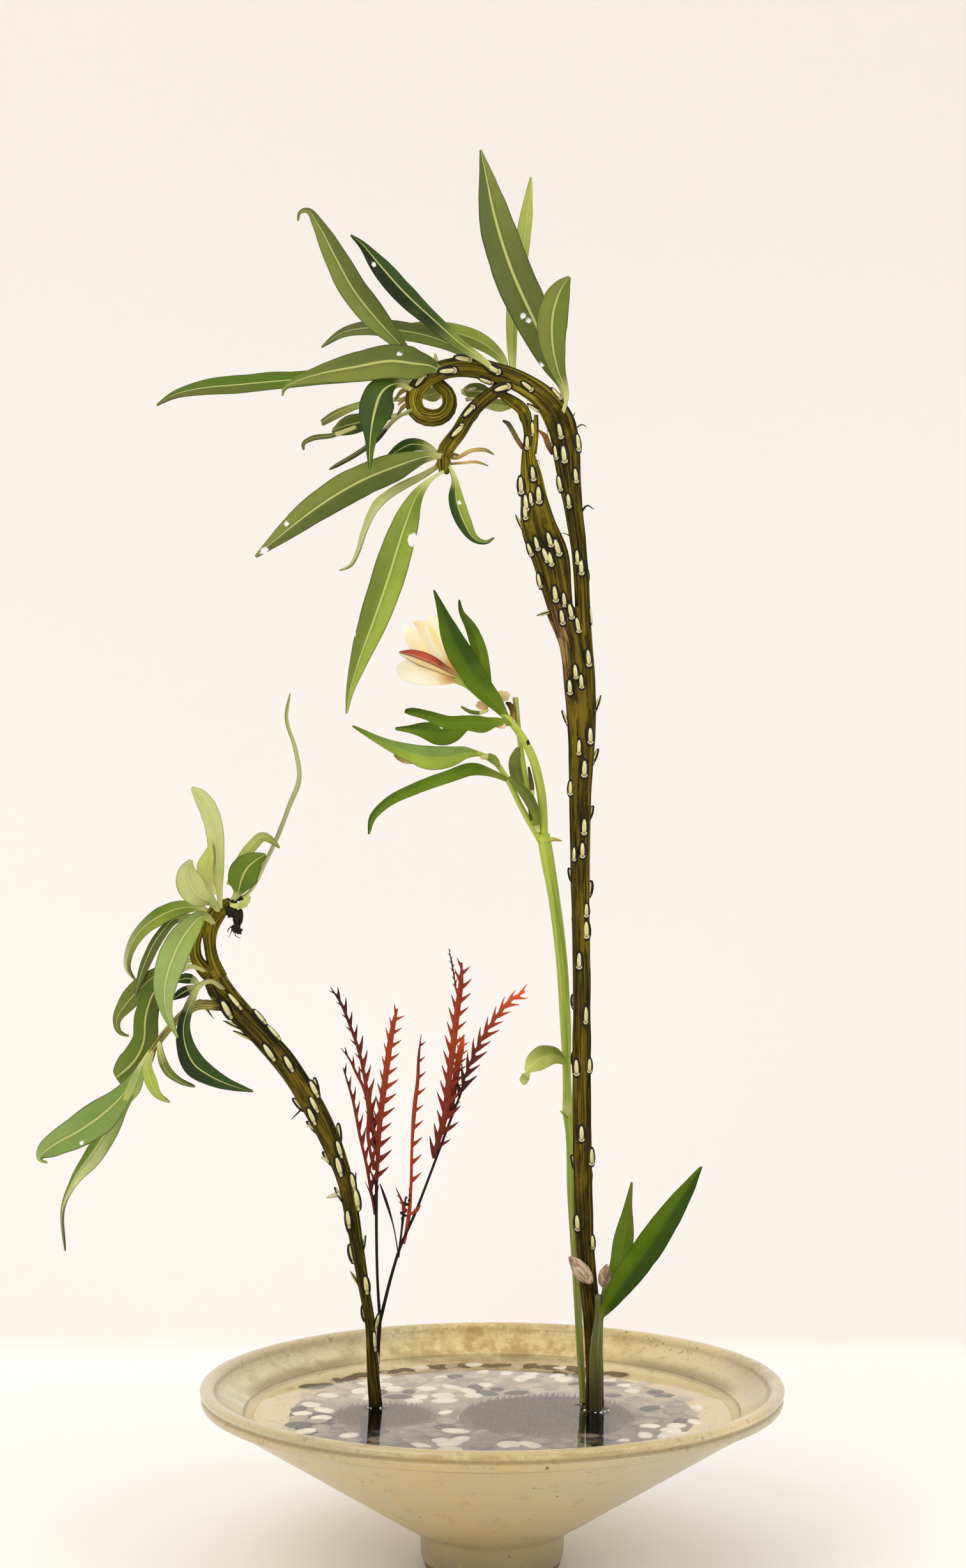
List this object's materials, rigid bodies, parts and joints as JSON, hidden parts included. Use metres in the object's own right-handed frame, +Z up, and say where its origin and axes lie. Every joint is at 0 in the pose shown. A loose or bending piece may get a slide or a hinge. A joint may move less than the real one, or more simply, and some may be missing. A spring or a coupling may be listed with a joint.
{
  "type": "ikebana arrangement",
  "caption": "Ikebana in a wide footed stoneware bowl of water and pebbles: arching flat willow stems with long leaves, alstroemeria, and a red serrated spray.",
  "frame": {"origin": "middle of the bowl's foot, on the surface it stands on", "axes": "+Z up, +X to the right and -Y towards the side it is seen from"},
  "size_m": [0.3798, 0.3, 0.7316],
  "materials": {
    "bowl_glaze": "gloss, mottled olive-cream ash glaze with iron specks and a worn brown rim",
    "water": "still, slightly cloudy water",
    "pebbles": "wet river pebbles, mostly cream with some grey and brown",
    "pin_holder": "matte dark lead base with tarnished brass pins",
    "willow_bark": "satin ribbed olive-brown bark with cream buds",
    "willow_leaf": "satin leaf, grey-green underside and dark upper side with a pale midrib",
    "lily_stem": "satin fresh yellow-green stem",
    "lily_leaf": "satin dark green leaf with fine parallel veins",
    "petal": "matte translucent cream tepal with orange-red stripes",
    "faded_flower": "matte faded brown-pink tepals with darker stripes",
    "red_spray": "matte deep red serrated blades on near-black stalks"
  },
  "bodies": {
    "root": {"alstroemeria_short_leaf_01": "lily_leaf", "alstroemeria_short_leaf_02": "lily_leaf", "alstroemeria_short_stem": "lily_stem", "alstroemeria_tall_leaf_01": "lily_leaf", "alstroemeria_tall_leaf_02": "lily_leaf", "alstroemeria_tall_leaf_03": "lily_leaf", "alstroemeria_tall_leaf_04": "lily_leaf", "alstroemeria_tall_leaf_05": "lily_leaf", "alstroemeria_tall_leaf_06": "lily_leaf", "alstroemeria_tall_leaf_07": "lily_leaf", "alstroemeria_tall_leaf_08": "lily_leaf", "alstroemeria_tall_stem": "lily_stem", "bowl": "bowl_glaze", "closed_bud": "faded_flower", "faded_flower": "faded_flower", "kenzan_left": "pin_holder", "kenzan_right": "pin_holder", "pebble_bed": "pebbles", "red_spray": "red_spray", "tepal_1": "petal", "tepal_2": "petal", "tepal_3": "petal", "tepal_4": "petal", "tepal_5": "petal", "tepal_6": "petal", "water": "water", "willow_low_leaf_01": "willow_leaf", "willow_low_leaf_02": "willow_leaf", "willow_low_leaf_03": "willow_leaf", "willow_low_leaf_04": "willow_leaf", "willow_low_leaf_05": "willow_leaf", "willow_low_leaf_06": "willow_leaf", "willow_low_leaf_07": "willow_leaf", "willow_low_leaf_08": "willow_leaf", "willow_low_leaf_09": "willow_leaf", "willow_low_leaf_10": "willow_leaf", "willow_low_leaf_11": "willow_leaf", "willow_low_leaf_12": "willow_leaf", "willow_low_leaf_13": "willow_leaf", "willow_low_leaf_14": "willow_leaf", "willow_low_stem": "willow_bark", "willow_tall_leaf_01": "willow_leaf", "willow_tall_leaf_02": "willow_leaf", "willow_tall_leaf_03": "willow_leaf", "willow_tall_leaf_04": "willow_leaf", "willow_tall_leaf_05": "willow_leaf", "willow_tall_leaf_06": "willow_leaf", "willow_tall_leaf_07": "willow_leaf", "willow_tall_leaf_08": "willow_leaf", "willow_tall_leaf_09": "willow_leaf", "willow_tall_leaf_10": "willow_leaf", "willow_tall_leaf_11": "willow_leaf", "willow_tall_leaf_12": "willow_leaf", "willow_tall_leaf_13": "willow_leaf", "willow_tall_leaf_14": "willow_leaf", "willow_tall_leaf_15": "willow_leaf", "willow_tall_leaf_16": "willow_leaf", "willow_tall_leaf_17": "willow_leaf", "willow_tall_stem": "willow_bark"}
  },
  "joints": []
}
